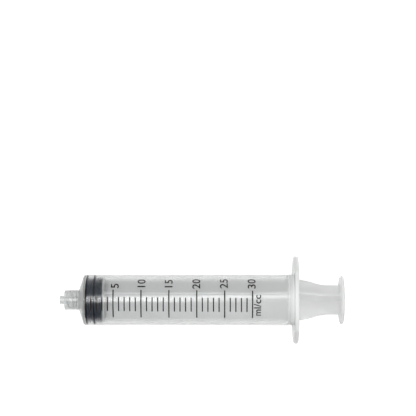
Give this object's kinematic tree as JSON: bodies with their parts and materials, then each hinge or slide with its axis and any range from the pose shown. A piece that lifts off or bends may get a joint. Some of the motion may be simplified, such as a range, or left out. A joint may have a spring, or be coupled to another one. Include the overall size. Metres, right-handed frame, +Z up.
{
  "type": "luer lock syringe",
  "caption": "Clear luer lock syringe with a graduated barrel, an oval finger flange, a ribbed plunger with a thumb disc and a black rubber stopper, lying on its side.",
  "frame": {"origin": "under the middle of the syringe, on the surface that the flange's lower flat rests on", "axes": "+X along the syringe from the luer cone to the thumb disc, +Y along the finger flange, +Z up"},
  "size_m": [0.1362, 0.042, 0.0275],
  "materials": {
    "clear_plastic": "clear polypropylene, smooth",
    "natural_plastic": "natural polypropylene, slightly milky",
    "black_rubber": "siliconised black rubber, satin"
  },
  "bodies": {
    "barrel": {"barrel": "clear_plastic"},
    "stopper": {"stopper": "black_rubber"},
    "plunger": {"plunger": "natural_plastic"}
  },
  "joints": [
    {"name": "stroke", "type": "slide", "parent": "barrel", "child": "stopper", "axis": [1, 0, 0], "range_m": [0, 0.0892]},
    {"name": "rod_turn", "type": "hinge", "parent": "stopper", "child": "plunger", "pos_m": [0, 0, 0.01375], "axis": [1, 0, 0], "continuous": true}
  ]
}
